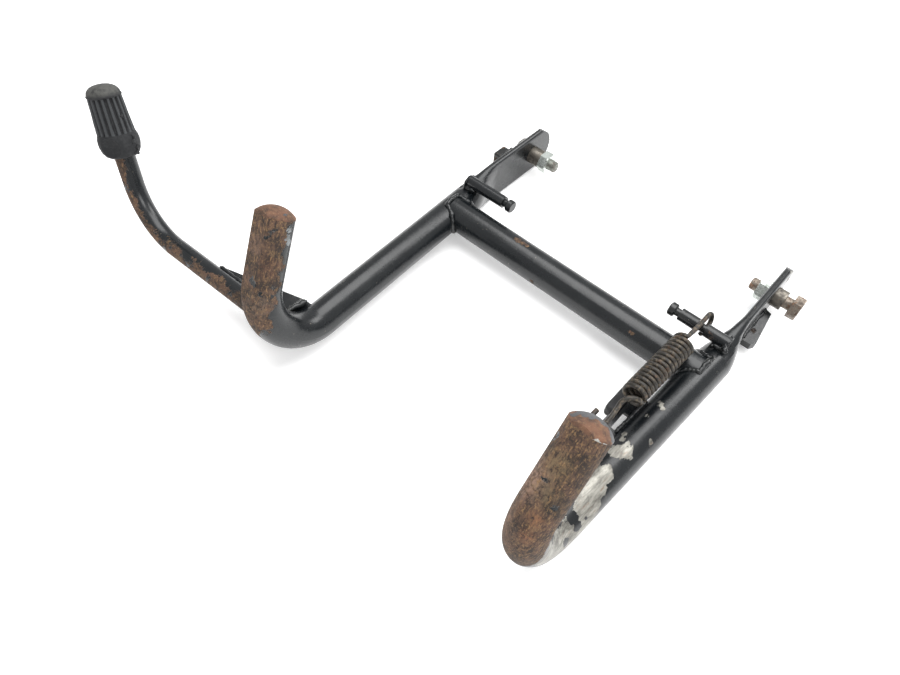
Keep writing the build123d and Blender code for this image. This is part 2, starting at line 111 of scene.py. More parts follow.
@dataclass
class Surface:
    """One material under construction, with the patterns that the finishes share."""

    name: str

    def __post_init__(self) -> None:
        """Starts the material with its shader and its object coordinates."""
        self.material = bpy.data.materials.new(self.name)
        self.material.use_nodes = True
        self.tree = self.material.node_tree
        self.tree.nodes.clear()
        self.shader = self.add("BsdfPrincipled")
        self.add("OutputMaterial", {"Surface": self.shader})
        self.place = self.add("TexCoord").outputs["Object"]

    def feed(self, socket: Socket, value: Feed) -> None:
        """Links what feeds a socket, or sets its value.

        Args:
            socket: the input.
            value: a socket, a node whose first output is meant, a number, a tuple or a colour in hex.
        """
        if isinstance(value, bpy.types.Node):
            value = value.outputs[0]
        if isinstance(value, Socket):
            self.tree.links.new(value, socket)
        else:
            socket.default_value = linear(value) if isinstance(value, str) else value

    def add(self, kind: str, inputs: dict | tuple = (), **settings: str) -> bpy.types.Node:
        """Adds a node with its settings and links.

        Args:
            kind: the node's type name, without "ShaderNode".
            inputs: what feeds each socket, in their order or by name or number.
            settings: properties of the node itself.

        Returns:
            The new node.
        """
        node = self.tree.nodes.new("ShaderNode" + kind)
        for name, value in settings.items():
            setattr(node, name, value)
        for name, value in inputs.items() if isinstance(inputs, dict) else enumerate(inputs):
            self.feed(node.inputs[name], value)
        return node

    def grain(
        self, size_mm: float, detail: float = 4, rough: float = 0.6, stretch: Vector | None = None
    ) -> Output:
        """Cloudy noise whose blotches are about that size.

        Args:
            size_mm: how far one blotch is from the next.
            detail: how many finer layers it has.
            rough: how strong the finer layers are.
            stretch: how much the pattern is drawn out along X, Y and Z.

        Returns:
            A value around 0.5.
        """
        where = self.place
        if stretch is not None:
            where = self.add("Mapping", {0: where, "Scale": tuple(1 / s for s in stretch)}).outputs[0]
        inputs = {"Vector": where, "Scale": 1 / (size_mm * MM), "Detail": detail, "Roughness": rough}
        return self.add("TexNoise", inputs).outputs["Fac"]

    def fibres(self, direction: Vector, length_mm: float, width_mm: float) -> Output:
        """Noise drawn out along one direction, like drawing lines on a tube.

        Args:
            direction: the way the lines run, of length 1.
            length_mm: how long a line is.
            width_mm: how far one line is from the next.

        Returns:
            A value around 0.5.
        """
        dot = self.add("VectorMath", {0: self.place, 1: direction}, operation="DOT_PRODUCT")
        share = self.add("Math", (dot.outputs["Value"], 1 - width_mm / length_mm), operation="MULTIPLY")
        cut = self.add("VectorMath", {0: direction, "Scale": share}, operation="SCALE")
        where = self.add("VectorMath", {0: self.place, 1: cut.outputs[0]}, operation="SUBTRACT")
        inputs = {"Vector": where.outputs[0], "Scale": 1 / (width_mm * MM), "Detail": 4, "Roughness": 0.7}
        return self.add("TexNoise", inputs).outputs["Fac"]

    def step(self, value: Feed, low: float, high: float) -> Output:
        """The value as a mask that rises from 0 at low to 1 at high."""
        inputs = {"Value": value, "From Min": low, "From Max": high}
        return self.add("MapRange", inputs, interpolation_type="SMOOTHSTEP").outputs[0]

    def blend(self, mask: Feed, under: Feed, over: Feed, strength: float = 1.0) -> Output:
        """One colour over another.

        Args:
            mask: where the upper colour lies.
            under: the lower colour.
            over: the upper colour.
            strength: how far the upper colour covers where the mask is 1.

        Returns:
            The colour.
        """
        if strength < 1:
            mask = self.add("Math", (mask, strength), operation="MULTIPLY")
        return self.add("Mix", {0: mask, 6: under, 7: over}, data_type="RGBA").outputs[2]

    def along(self, direction: Vector, origin: Vector) -> Output:
        """How far a place lies from the origin along a direction.

        Args:
            direction: of length 1.
            origin: in metres.

        Returns:
            The distance in millimetres.
        """
        moved = self.add("VectorMath", {0: self.place, 1: origin}, operation="SUBTRACT").outputs[0]
        dot = self.add("VectorMath", {0: moved, 1: direction}, operation="DOT_PRODUCT").outputs["Value"]
        return self.add("Math", (dot, 1 / MM), operation="MULTIPLY")

    def spots(self, places: tuple, ragged_mm: float, size_mm: float) -> Output:
        """A mask of patches with ragged edges.

        Args:
            places: centre of each patch and its radius, both in millimetres.
            ragged_mm: how far the edges wander.
            size_mm: the length of one wave of the edge.

        Returns:
            1 inside the patches and 0 outside.
        """
        depth: Feed = -100.0
        for centre, radius in places:
            away = self.add("VectorMath", {0: self.place, 1: mm(*centre)}, operation="DISTANCE")
            inside = self.add("Math", (away.outputs["Value"], -1 / MM, radius), operation="MULTIPLY_ADD")
            depth = self.add("Math", (depth, inside), operation="MAXIMUM")
        edge = self.grain(size_mm, 6, 0.72, Vector((0.8, 1.5, 0.8)))
        wander = self.add("Math", (edge, 0.5), operation="SUBTRACT")
        depth = self.add("Math", (wander, ragged_mm * 4, depth), operation="MULTIPLY_ADD")
        return self.step(depth, -0.15, 0.15)

    def relief(self, heights: list[tuple[Output, float]]) -> None:
        """Bumps on the surface.

        Args:
            heights: each pattern with its depth in millimetres.
        """
        normal = None
        for height, depth in heights:
            inputs = {"Height": height, "Distance": depth * MM, "Strength": 1.0}
            if normal is not None:
                inputs["Normal"] = normal
            normal = self.add("Bump", inputs)
        self.wear(Normal=normal)

    def wear(self, **sockets: Feed) -> None:
        """Feeds the shader's sockets, which are named with underscores for spaces."""
        for name, value in sockets.items():
            self.feed(self.shader.inputs[name.replace("_", " ")], value)


# ---- finishes --------------------------------------------------------------
@dataclass(frozen=True)
class Rust:
    """Brown iron rust in three tones: pitted, matte, with ochre dust and dark scale."""

    light: str = "#94744f"
    mid: str = "#594234"
    dark: str = "#281f1a"
    ochre: str = "#786144"
    pit_mm: float = 1.5
    blotch_mm: float = 9.0
    lines: tuple | None = None
    line_mm: float = 4.5
    line_gap_mm: float = 1.2

    def colour(self, surface: Surface) -> Output:
        """The mottled colour of the rust.

        Args:
            surface: the material under construction.

        Returns:
            The colour, with its drawing lines.
        """
        blotch = surface.step(surface.grain(self.blotch_mm, 5, 0.7), 0.38, 0.62)
        base = surface.blend(blotch, self.mid, self.dark)
        grit = surface.step(surface.grain(self.pit_mm, 3, 0.7), 0.5, 0.72)
        base = surface.blend(grit, base, self.light, 0.65)
        dust = surface.step(surface.grain(self.blotch_mm * 0.7, 6, 0.75, Vector((1.2, 1, 1.6))), 0.54, 0.68)
        base = surface.blend(dust, base, self.ochre, 0.6)
        return self.scored(surface, base)

    def scored(self, surface: Surface, base: Feed) -> Output:
        """Adds light and dark drawing lines, where the rust has them.

        Args:
            surface: the material under construction.
            base: the colour under the lines.

        Returns:
            The lined colour.
        """
        if self.lines is None:
            return base
        line = surface.fibres(Vector(self.lines), self.line_mm, self.line_gap_mm)
        base = surface.blend(surface.step(line, 0.48, 0.32), base, self.dark, 0.85)
        return surface.blend(surface.step(line, 0.55, 0.70), base, self.light, 0.55)

    def pits(self, surface: Surface) -> Output:
        """The pitted face.

        Args:
            surface: the material under construction.

        Returns:
            Its height.
        """
        fine = surface.grain(self.pit_mm, 4, 0.75)
        broad = surface.grain(self.blotch_mm * 0.6, 3, 0.6)
        height = surface.add("Math", (broad, 0.6, fine), operation="MULTIPLY_ADD")
        if self.lines is None:
            return height
        line = surface.fibres(Vector(self.lines), self.line_mm, self.line_gap_mm)
        return surface.add("Math", (height, line), operation="ADD")


@dataclass(frozen=True)
class Zone:
    """A soft-edged area where the rust has another tone."""

    centre: tuple
    radius: float
    colour: str
    strength: float = 0.6


@dataclass(frozen=True)
class StandPaint:
    """Black enamel over steel tube: soft gloss, slight waves, dust and hair scratches, and painted shade
    along the fold of each ear.

    Patches are a centre and a radius in millimetres: bare patches and chips show steel, islands are paint
    left inside them, rust_spots show rust. On the left leg the bare patches and the two steel tones are a
    painted highlight in light blue-grey, not steel. A rust_line is a direction, an origin and where the rust
    starts along it. A rust_side is the way the rusty side faces, how far round the rust starts and
    how much it gains with height. A fold is the middle of an ear across and where the ear begins.
    """

    name: str
    black: str = "#0b0f12"
    worn: str = "#26292a"
    bare_steel_and_highlight: tuple = ()
    chips: tuple = ()
    islands: tuple = ()
    rust_line: tuple | None = None
    rust_side: tuple | None = None
    rust_wander: float = 34.0
    rust_spots: tuple = ()
    rust_share: float = 0.0
    rust_lines: tuple | None = None
    zones: tuple = ()
    dust: str = "#8d857a"
    scratch: float = 1.0
    fold: tuple | None = None
    steel_and_highlight_light: str = "#9c9a92"
    steel_and_highlight_dark: str = "#5c5a54"

    def rusty(self, surface: Surface) -> Output | None:
        """Where the paint has gone and rust shows.

        Args:
            surface: the material under construction.

        Returns:
            The mask, or None on sound paint.
        """
        masks = []
        if self.rust_line is not None:
            direction, origin, start = self.rust_line
            wander = surface.add("Math", (surface.grain(11, 5, 0.65), 0.5), operation="SUBTRACT")
            away = surface.along(direction, origin)
            reach = surface.add("Math", (wander, self.rust_wander, away), operation="MULTIPLY_ADD")
            masks.append(surface.step(reach, start - 0.8, start + 0.8))
        if self.rust_side is not None:
            direction, start, climb = self.rust_side
            normal = surface.add("TexCoord").outputs["Normal"]
            facing = surface.add("VectorMath", {0: normal, 1: direction}, operation="DOT_PRODUCT")
            wander = surface.add("Math", (surface.grain(13, 6, 0.7), 0.5), operation="SUBTRACT")
            reach = surface.add("Math", (wander, 3.0, facing.outputs["Value"]), operation="MULTIPLY_ADD")
            height = surface.along(Vector((0, 0, 1)), Vector((0, 0, 0)))
            reach = surface.add("Math", (height, climb, reach), operation="MULTIPLY_ADD")
            masks.append(surface.step(reach, start - 0.05, start + 0.05))
        if self.rust_share:
            start = 0.80 - self.rust_share
            masks.append(surface.step(surface.grain(8, 6, 0.7), start, start + 0.04))
        if self.rust_spots:
            masks.append(surface.spots(self.rust_spots, 2.6, 5.0))
        if not masks:
            return None
        whole = masks[0]
        for mask in masks[1:]:
            whole = surface.add("Math", (whole, mask), operation="MAXIMUM")
        scale = surface.step(surface.grain(15, 4, 0.6), 0.64, 0.67)
        clear = surface.add("Math", (1.0, scale), operation="SUBTRACT")
        return surface.add("Math", (whole, clear), operation="MULTIPLY")

    def rust_colour(self, surface: Surface) -> Output:
        """The rust with its zones.

        Args:
            surface: the material under construction.

        Returns:
            The colour.
        """
        rust = Rust(lines=self.rust_lines)
        colour = rust.colour(surface)
        for zone in self.zones:
            away = surface.add("VectorMath", {0: surface.place, 1: mm(*zone.centre)}, operation="DISTANCE")
            near = surface.step(away.outputs["Value"], zone.radius * MM, zone.radius * 0.2 * MM)
            grain = surface.step(surface.grain(3.2, 6, 0.8), 0.38, 0.60)
            mask = surface.add("Math", (near, grain), operation="MULTIPLY")
            colour = surface.blend(mask, colour, zone.colour, zone.strength)
        return rust.scored(surface, colour)

    def make(self) -> bpy.types.Material:
        """Builds the material.

        Returns:
            Black paint with bare patches and rust where the fields say.
        """
        surface = Surface(self.name)
        dull = surface.step(surface.grain(26, 4), 0.45, 0.75)
        colour = surface.blend(dull, self.black, self.worn, 0.45)
        rough = surface.add("Math", (surface.grain(14, 4), 0.20, 0.16), operation="MULTIPLY_ADD")
        # hair scratches and dust specks of half a millimetre, drawn a little coarse so that they show
        hair = surface.step(surface.grain(2.4, 2, 0.5, Vector((0.6, 5, 0.6))), 0.735, 0.76)
        area = surface.step(surface.grain(40, 2), 0.5, 0.6)
        hair = surface.add("Math", (hair, area), operation="MULTIPLY")
        speck = surface.step(surface.grain(1.5, 1, 0.4), 0.80, 0.83)
        light = surface.add("Math", (hair, speck), operation="MAXIMUM")
        colour = surface.blend(light, colour, self.dust, 0.75 * self.scratch)
        metal: Feed = 0.0
        heights = [(surface.grain(7.0, 2, 0.5), 0.10), (surface.grain(0.9, 2, 0.5), 0.015)]
        rusty = self.rusty(surface)
        if rusty is not None:
            colour = surface.blend(rusty, colour, self.rust_colour(surface))
            matte = surface.add("Math", (rusty, 0.82), operation="MULTIPLY")
            rough = surface.add("Math", (rough, matte), operation="MAXIMUM")
            pits = Rust(lines=self.rust_lines).pits(surface)
            heights.append((surface.add("Math", (pits, rusty), operation="MULTIPLY"), 0.55))
        if self.fold is not None:
            # the two walls of the pressed tube meet in a fine groove along the ear's edge: the groove is
            # pressed in as a bump, and its near-black colour is painted shade
            middle, start = self.fold
            off = surface.along(Vector((1, 0, 0)), mm(middle, 0, 0))
            across = surface.add("Math", (off,), operation="ABSOLUTE")
            line = surface.step(across, 0.75, 0.2)
            ear = surface.step(surface.along(Vector((0, 1, 0)), mm(0, start, 0)), 0, 12)
            line = surface.add("Math", (line, ear), operation="MULTIPLY")
            colour = surface.blend(line, colour, "#050505", 0.85)
            heights.append((surface.add("Math", (1.0, line), operation="SUBTRACT"), 0.5))
        # bare patches show steel; on the left leg the same mask and tones make a painted highlight in
        # blue-grey
        patches = [*self.bare_steel_and_highlight, *self.chips]
        if patches:
            bare_steel_and_highlight = surface.spots(patches, 3.2, 6.0)
            if self.islands:
                left = surface.spots(self.islands, 1.6, 5.0)
                open_steel = surface.add("Math", (1.0, left), operation="SUBTRACT")
                bare_steel_and_highlight = surface.add("Math", (bare_steel_and_highlight, open_steel), operation="MULTIPLY")
            cloud = surface.step(surface.grain(7, 5, 0.7, Vector((0.7, 2.0, 0.7))), 0.38, 0.66)
            steel = surface.blend(cloud, self.steel_and_highlight_light, self.steel_and_highlight_dark)
            stain = surface.step(surface.grain(4.5, 5, 0.75, Vector((0.6, 2.8, 0.6))), 0.56, 0.68)
            steel = surface.blend(stain, steel, "#7d5b44", 0.6)
            scrape = surface.step(surface.fibres(Vector((0.05, 1.0, 0.0)), 16.0, 1.1), 0.55, 0.40)
            steel = surface.blend(scrape, steel, "#55524c", 0.45)
            colour = surface.blend(bare_steel_and_highlight, colour, steel)
            change = surface.add("Math", (0.42, rough), operation="SUBTRACT")
            rough = surface.add("Math", (bare_steel_and_highlight, change, rough), operation="MULTIPLY_ADD")
            metal = surface.add("Math", (bare_steel_and_highlight, 0.5), operation="MULTIPLY")
            heights.append((surface.add("Math", (1.0, bare_steel_and_highlight), operation="SUBTRACT"), 0.12))
        heights.append((surface.grain(3.0, 3, 0.5), 0.02))
        surface.relief(heights)
        surface.wear(Base_Color=colour, Roughness=rough, Metallic=metal)
        return surface.material


@dataclass(frozen=True)
class RustyEnd:
    """The cap of a foot: thick brown rust with leftovers of black paint and one polished scuff."""

    name: str
    paint: tuple = ()
    scuff: tuple = ()

    def make(self) -> bpy.types.Material:
        """Builds the material.

        Returns:
            The finished material.
        """
        surface = Surface(self.name)
        rust = Rust(light="#8f6c50", mid="#6c4b38", dark="#3f2e24", ochre="#795a3c", blotch_mm=6.0)
        colour = rust.colour(surface)
        rough: Feed = surface.add("Math", (surface.grain(2.0), 0.2, 0.7), operation="MULTIPLY_ADD")
        heights = [(rust.pits(surface), 0.45)]
        if self.paint:
            left = surface.spots(self.paint, 2.0, 5.0)
            colour = surface.blend(left, colour, "#3d3e40")
            rough = surface.add("Math", (left, -0.35, rough), operation="MULTIPLY_ADD")
            heights.append((left, 0.2))
        if self.scuff:
            bright = surface.spots(self.scuff, 1.2, 4.0)
            colour = surface.blend(bright, colour, "#a5a49e")
            rough = surface.add("Math", (bright, -0.3, rough), operation="MULTIPLY_ADD")
            surface.wear(Metallic=surface.add("Math", (bright, 0.4), operation="MULTIPLY"))
        surface.relief(heights)
        surface.wear(Base_Color=colour, Roughness=rough)
        return surface.material


@dataclass(frozen=True)
class WornSteel:
    """Plain turned or drawn steel, oily grey, with brown rust in blotches."""

    name: str
    steel: str = "#8c8780"
    grime: str = "#4a4038"
    rust: float = 0.5
    rough: float = 0.38
    thread_mm: float = 0.0

    def make(self) -> bpy.types.Material:
        """Builds the material.

        Returns:
            The finished material.
        """
        surface = Surface(self.name)
        tones = Rust(light="#a98c76", mid="#7b5f4b", dark="#43362d")
        grime = surface.step(surface.grain(5, 5, 0.7), 0.42, 0.68)
        colour = surface.blend(grime, self.steel, self.grime)
        rusty = surface.step(surface.grain(4, 5, 0.7), 0.78 - self.rust * 0.5, 0.86 - self.rust * 0.5)
        colour = surface.blend(rusty, colour, tones.colour(surface))
        dirty = surface.add("Math", (rusty, grime), operation="MAXIMUM")
        rough = surface.add("Math", (dirty, 0.35, self.rough), operation="MULTIPLY_ADD")
        metal = surface.add("Math", (dirty, -0.8, 0.95), operation="MULTIPLY_ADD")
        heights = [(surface.grain(1.2, 4, 0.7), 0.10)]
        if self.thread_mm:
            # the wave runs 20 radians to the metre at scale 1, so that each thread is one ring
            scale = 2 * math.pi / (20 * self.thread_mm * MM)
            inputs = {0: surface.place, "Scale": scale, "Distortion": 0.0}
            rings = surface.add("TexWave", inputs, wave_type="BANDS", bands_direction="X")
            heights.append((rings.outputs["Fac"], 0.12))
        surface.relief(heights)
        surface.wear(Base_Color=colour, Roughness=rough, Metallic=metal)
        return surface.material


@dataclass(frozen=True)
class BrightZinc:
    """Clear zinc plate on a nut: pale, slightly blue-green, with grey stains in the corners."""

    name: str = "bright_zinc"

    def make(self) -> bpy.types.Material:
        """Builds the material.

        Returns:
            The finished material.
        """
        surface = Surface(self.name)
        stain = surface.step(surface.grain(3.5, 4, 0.65), 0.48, 0.7)
        colour = surface.blend(stain, "#d5dbd6", "#8c918c")
        rough = surface.add("Math", (stain, 0.25, 0.24), operation="MULTIPLY_ADD")
        surface.relief([(surface.grain(1.5, 3, 0.6), 0.06)])
        surface.wear(Base_Color=colour, Roughness=rough, Metallic=0.85)
        return surface.material


@dataclass(frozen=True)
class SpringWire:
    """Drawn spring wire: phosphate brown-black with rust dust in the grooves."""

    name: str = "spring_wire"

    def make(self) -> bpy.types.Material:
        """Builds the material.

        Returns:
            The finished material.
        """
        surface = Surface(self.name)
        dust = surface.step(surface.grain(2.6, 5, 0.7), 0.48, 0.68)
        colour = surface.blend(dust, "#2b2824", "#6d6253")
        rusty = surface.step(surface.grain(7, 5, 0.7), 0.56, 0.66)
        colour = surface.blend(rusty, colour, "#5d4634", 0.5)
        rough = surface.add("Math", (dust, 0.3, 0.42), operation="MULTIPLY_ADD")
        surface.relief([(surface.grain(1.1, 4, 0.7), 0.10)])
        surface.wear(Base_Color=colour, Roughness=rough, Metallic=0.35)
        return surface.material


@dataclass(frozen=True)
class OldRubber:
    """Moulded black rubber gone grey and matte, with a painted highlight on the rib crowns and painted shade
    in the grooves.
    """

    name: str
    face: str = "#1d1e20"
    bloom: str = "#343536"
    # the colour of the painted highlight on the rib crowns; the grooves keep the darker face as painted shade
    rib_highlight_colour: str = "#414345"
    chalk: str = "#4c4c49"
    bloom_start: tuple | None = None
    grit_mm: float = 1.3
    grit_depth: float = 0.12
    ribbed: bool = False

    def make(self) -> bpy.types.Material:
        """Builds the material.

        Returns:
            The finished material.
        """
        surface = Surface(self.name)
        chalk = surface.step(surface.grain(4.5, 5, 0.7), 0.44, 0.72)
        colour = surface.blend(chalk, self.face, self.bloom, 0.55)
        if self.ribbed:
            # painted highlight on the rib crowns and painted shade in the grooves, read from the point
            # attribute
            rib_highlight = surface.add("Attribute", attribute_name="rib_highlight").outputs["Fac"]
            colour = surface.blend(rib_highlight, colour, self.rib_highlight_colour, 0.75)
        if self.bloom_start is not None:
            direction, origin, start = self.bloom_start
            worn = surface.step(surface.along(direction, origin), start - 1.5, start + 2.5)
            cloud = surface.step(surface.grain(5, 4), 0.25, 0.6)
            worn = surface.add("Math", (worn, cloud), operation="MULTIPLY")
            colour = surface.blend(worn, colour, self.chalk)
        rough = surface.add("Math", (surface.grain(3.0), 0.2, 0.62), operation="MULTIPLY_ADD")
        grit = surface.grain(self.grit_mm, 4, 0.7)
        surface.relief([(grit, self.grit_depth), (surface.grain(5, 3), 0.15)])
        surface.wear(Base_Color=colour, Roughness=rough, Specular_IOR_Level=0.35)
        return surface.material


# ---- mesh tools ------------------------------------------------------------
def only(piece: bpy.types.Object) -> None:
    """Selects one object and nothing else."""
    bpy.ops.object.select_all(action="DESELECT")
    piece.select_set(True)
    bpy.context.view_layer.objects.active = piece


def finished(
    piece: bpy.types.Object, material: bpy.types.Material, smooth_deg: float = 40.0
) -> bpy.types.Object:
    """Applies place and modifiers, shades the piece and gives it its material.

    Args:
        piece: the object to finish.
        material: its finish.
        smooth_deg: edges sharper than this stay sharp.

    Returns:
        The same object, at the origin.
    """
    only(piece)
    for modifier in list(piece.modifiers):
        bpy.ops.object.modifier_apply(modifier=modifier.name)
    bpy.ops.object.transform_apply(location=True, rotation=True, scale=True)
    bpy.ops.object.mode_set(mode="EDIT")
    bpy.ops.mesh.select_all(action="SELECT")
    bpy.ops.mesh.remove_doubles(threshold=1e-6)
    bpy.ops.mesh.normals_make_consistent(inside=False)
    bpy.ops.object.mode_set(mode="OBJECT")
    bpy.ops.object.shade_smooth_by_angle(angle=math.radians(smooth_deg))
    piece.data.materials.clear()
    piece.data.materials.append(material)
    return piece


def bent_wire(
    name: str, path: list[Vector], radius_mm: float, sides: int = 3, taper: int = 0
) -> bpy.types.Object:
    """A round wire along a path, as a mesh with closed ends.

    Args:
        name: the object's name.
        path: points in metres.
        radius_mm: the wire's radius.
        sides: bevel resolution, a quarter of the wire's round.
        taper: over how many points each end thins out.

    Returns:
        The wire.
    """
    curve = bpy.data.curves.new(name, "CURVE")
    curve.dimensions = "3D"
    curve.bevel_depth = radius_mm * MM
    curve.bevel_resolution = sides
    curve.use_fill_caps = True
    spline = curve.splines.new("POLY")
    spline.points.add(len(path) - 1)
    for index, (point, place) in enumerate(zip(spline.points, path)):
        point.co = (*place, 1)
        inside = min(index, len(path) - 1 - index)
        point.radius = min(1.0, 0.35 + 0.65 * inside / taper) if taper else 1.0
    piece = bpy.data.objects.new(name, curve)
    bpy.context.collection.objects.link(piece)
    only(piece)
    bpy.ops.object.convert(target="MESH")
    return bpy.context.view_layer.objects.active


def lumpy(piece: bpy.types.Object, depth_mm: float, size_mm: float, seed: float = 0.0) -> None:
    """Moves each point of a mesh in and out along its normal by smooth noise.

    Args:
        piece: the mesh.
        depth_mm: the largest move.
        size_mm: how far one lump is from the next.
        seed: shifts the pattern.
    """
    moves = []
    for point in piece.data.vertices:
        where = point.co / (size_mm * MM) + Vector((seed, seed * 0.7, seed * 1.3))
        moves.append(point.normal * noise.noise(where) * depth_mm * MM)
    for point, move in zip(piece.data.vertices, moves):
        point.co += move


def turned(name: str, profile: list[tuple[float, float]], sides: int) -> bpy.types.Object:
    """A round body standing on the origin, drawn up ring by ring from its base.

    Args:
        name: the object's name.
        profile: radius and height of each ring in millimetres, from the base to the top.
        sides: how many corners each ring has.

    Returns:
        The body, closed at both ends.
    """
    radius, height = profile[0]
    bpy.ops.object.select_all(action="DESELECT")
    base = (0, 0, height * MM)
    bpy.ops.mesh.primitive_circle_add(vertices=sides, radius=radius * MM, fill_type="NGON", location=base)
    piece = bpy.context.object
    piece.name = name
    only(piece)
    bpy.ops.object.transform_apply(location=True, rotation=True, scale=True)
    bpy.ops.object.mode_set(mode="EDIT")
    bpy.ops.mesh.select_all(action="SELECT")
    for new_radius, new_height in profile[1:]:
        up = (0, 0, (new_height - height) * MM)
        bpy.ops.mesh.extrude_region_move(TRANSFORM_OT_translate={"value": up})
        share = new_radius / radius
        bpy.ops.transform.resize(value=(share, share, 1), center_override=(0, 0, new_height * MM))
        radius, height = new_radius, new_height
    bpy.ops.object.mode_set(mode="OBJECT")
    return piece


def given(piece: bpy.types.Object, body: Body) -> None:
    """Rides the piece on its body and reports it.

    Args:
        piece: the finished object.
        body: the body that carries it.
    """
    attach(piece, body.value)
    LOG.info("%s: %d points on %s", piece.name, len(piece.data.vertices), body.value)


def dress(node: str, material: bpy.types.Material) -> None:
    """Gives a CAD node its finish.

    Args:
        node: the node's name.
        material: the finish for all its slots.
    """
    thing = frame["nodes"][node]
    if not thing.data.materials:
        thing.data.materials.append(material)
    for index in range(len(thing.material_slots)):
        thing.material_slots[index].material = material
    LOG.info("%s: finish %s", node, material.name)


# ---- the stand -------------------------------------------------------------
@dataclass
class FramePieces:
    """Legs, cross tube, posts, tab, lug and gusset: the painted steel of the stand."""

    left_sole: tuple = (-0.35, -0.80, 0.48)
    right_sole: tuple = (-0.08, -0.76, 0.65)
    bend_centre_x: float = 115.0
    bend_centre_y: float = -264.5
    bend_centre_z: float = 39.0

    def build(self) -> None:
        """Dresses the painted CAD nodes."""
        centre = mm(0, self.bend_centre_y, self.bend_centre_z)
        right = StandPaint(
            "right_leg_paint",
            fold=(124.0, -66.0),
            bare_steel_and_highlight=(
                ((117, -229, 13), 7.0),
                ((119, -241, 12.5), 8.0),
                ((123, -252, 10), 10.5),
                ((128, -262, 2), 12.0),
                ((127, -275, 5), 13.5),
                ((127, -288, 12), 13.0),
                ((126, -300, 26), 9.5),
                ((115, -209, 13.3), 5.5),
                ((119, -206, 13.2), 5.0),
                ((112.3, -199.5, 12.3), 2.6),
                ((117, -200.5, 13.5), 2.2),
            ),
            chips=(
                ((114.8, -157.3, 12.6), 2.0),
                ((116.7, -159.3, 13.2), 2.3),
                ((119.0, -160.7, 13.6), 1.8),
                ((113.4, -172.5, 12.2), 1.5),
                ((110.6, -194.4, 11.2), 1.3),
                ((126.6, -186.2, 11.0), 1.5),
                ((124.0, 20.5, 14.5), 3.8),
                ((127.0, 21.5, 10.0), 3.2),
                ((123.0, 24.0, 9.0), 3.0),
                ((127.0, 12.0, 17.0), 1.8),
            ),
            islands=(
                ((121, -265.5, 12.4), 4.2),
                ((126, -266, 8.5), 3.6),
                ((126.5, -279, 9), 3.4),
                ((126.4, -258, 8), 1.3),
            ),
            rust_line=(Vector(self.right_sole), centre, 17.0),
            rust_wander=18.0,
            rust_lines=(-0.02, 0.67, 0.74),
            rust_spots=(((127, 20.0, 3.0), 3.5), ((127, 12.0, 12.0), 2.5)),
            zones=(
                Zone((96, -292, 80), 20, "#a08270", 0.75),
                Zone((97, -306, 55), 18, "#8e705c", 0.7),
                Zone((106, -283, 93), 13, "#766348", 0.75),
                Zone((110, -292, 80), 12, "#6a5b42", 0.6),
                Zone((122, -276, 92), 13, "#33281f", 0.8),
                Zone((123, -290, 72), 14, "#2f2720", 0.75),
                Zone((113, -305, 70), 7, "#8f6445", 0.7),
                Zone((114, -311, 60), 7, "#8a5c40", 0.65),
                Zone((120, -306, 30), 18, "#4d453c", 0.8),
                Zone((104, -312, 45), 12, "#6b4f3d", 0.6),
            ),
        )
        left = StandPaint(
            "left_leg_paint",
            fold=(-124.0, -66.0),
            # these three small patches near the top of the foot are a painted highlight on the strip of
            # paint, not bare steel
            bare_steel_and_highlight=(((-120.2, -273.5, 90), 2.6), ((-119.8, -274.6, 86), 2.2), ((-121.0, -271.2, 94), 1.8)),
            rust_line=(Vector(self.left_sole), centre - mm(self.bend_centre_x, 0, 0), 35.0),
            rust_wander=30.0,
            rust_lines=(-0.17, 0.57, 0.80),
            zones=(
                Zone((-134, -294, 88), 14, "#7a6153", 0.7),
                Zone((-131, -300, 68), 14, "#70574a", 0.6),
                Zone((-119, -294, 78), 12, "#4a3125", 0.7),
                Zone((-122, -288, 92), 10, "#3a2d26", 0.6),
                Zone((-117, -308, 54), 14, "#6a5a4e", 0.7),
            ),
            # light and dark blue-grey of that painted highlight
            steel_and_highlight_light="#8d9294",
            steel_and_highlight_dark="#5c6163",
        )
        dress("left_leg", left.make())
        dress("right_leg", right.make())
        plain = StandPaint("frame_paint", rust_share=0.08).make()
        dress("left_spring_post", plain)
        specks = (((-22.8, -123, -1), 1.6), ((-30, -121, 2), 1.2))
        streak = (((-52, -109, 15.6), 3.0), ((-47, -108.5, 15.5), 2.2), ((-42, -108, 15.4), 1.6))
        spots = (*specks, *streak, ((66.7, -120, 11), 1.8))
        dress("cross_tube", StandPaint("cross_tube_paint", rust_spots=spots, scratch=1.3).make())
        worn = StandPaint("scuffed_paint", rust_share=0.20, worn="#3b3a37").make()
        for node in ("right_spring_post", "lever_gusset", "buffer_bracket", "right_stop_tab"):
            dress(node, worn)
        dress("left_stop_lug", StandPaint("lug_paint", rust_share=0.25, worn="#3b3a37").make())


@dataclass
class FootCaps:
    """The two domed ends of the feet."""

    def build(self) -> None:
        """Dresses both caps."""
        right = RustyEnd(
            "right_cap_rust",
            paint=(
                ((103, -256, 107.5), 5.5),
                ((110, -252, 106), 6.0),
                ((116, -251, 103), 5.0),
                ((120.5, -256, 102), 4.6),
                ((123, -262, 100), 3.0),
                ((98.5, -262, 108), 2.2),
            ),
            scuff=(((115.7, -269, 106.8), 4.2), ((112, -271, 107.8), 3.2), ((119, -266, 105.5), 2.6)),
        )
        dress("right_foot_cap", right.make())
        left = RustyEnd("left_cap_rust", paint=(((-124, -267, 104), 3.0), ((-139, -270, 100), 2.5)))
        dress("left_foot_cap", left.make())


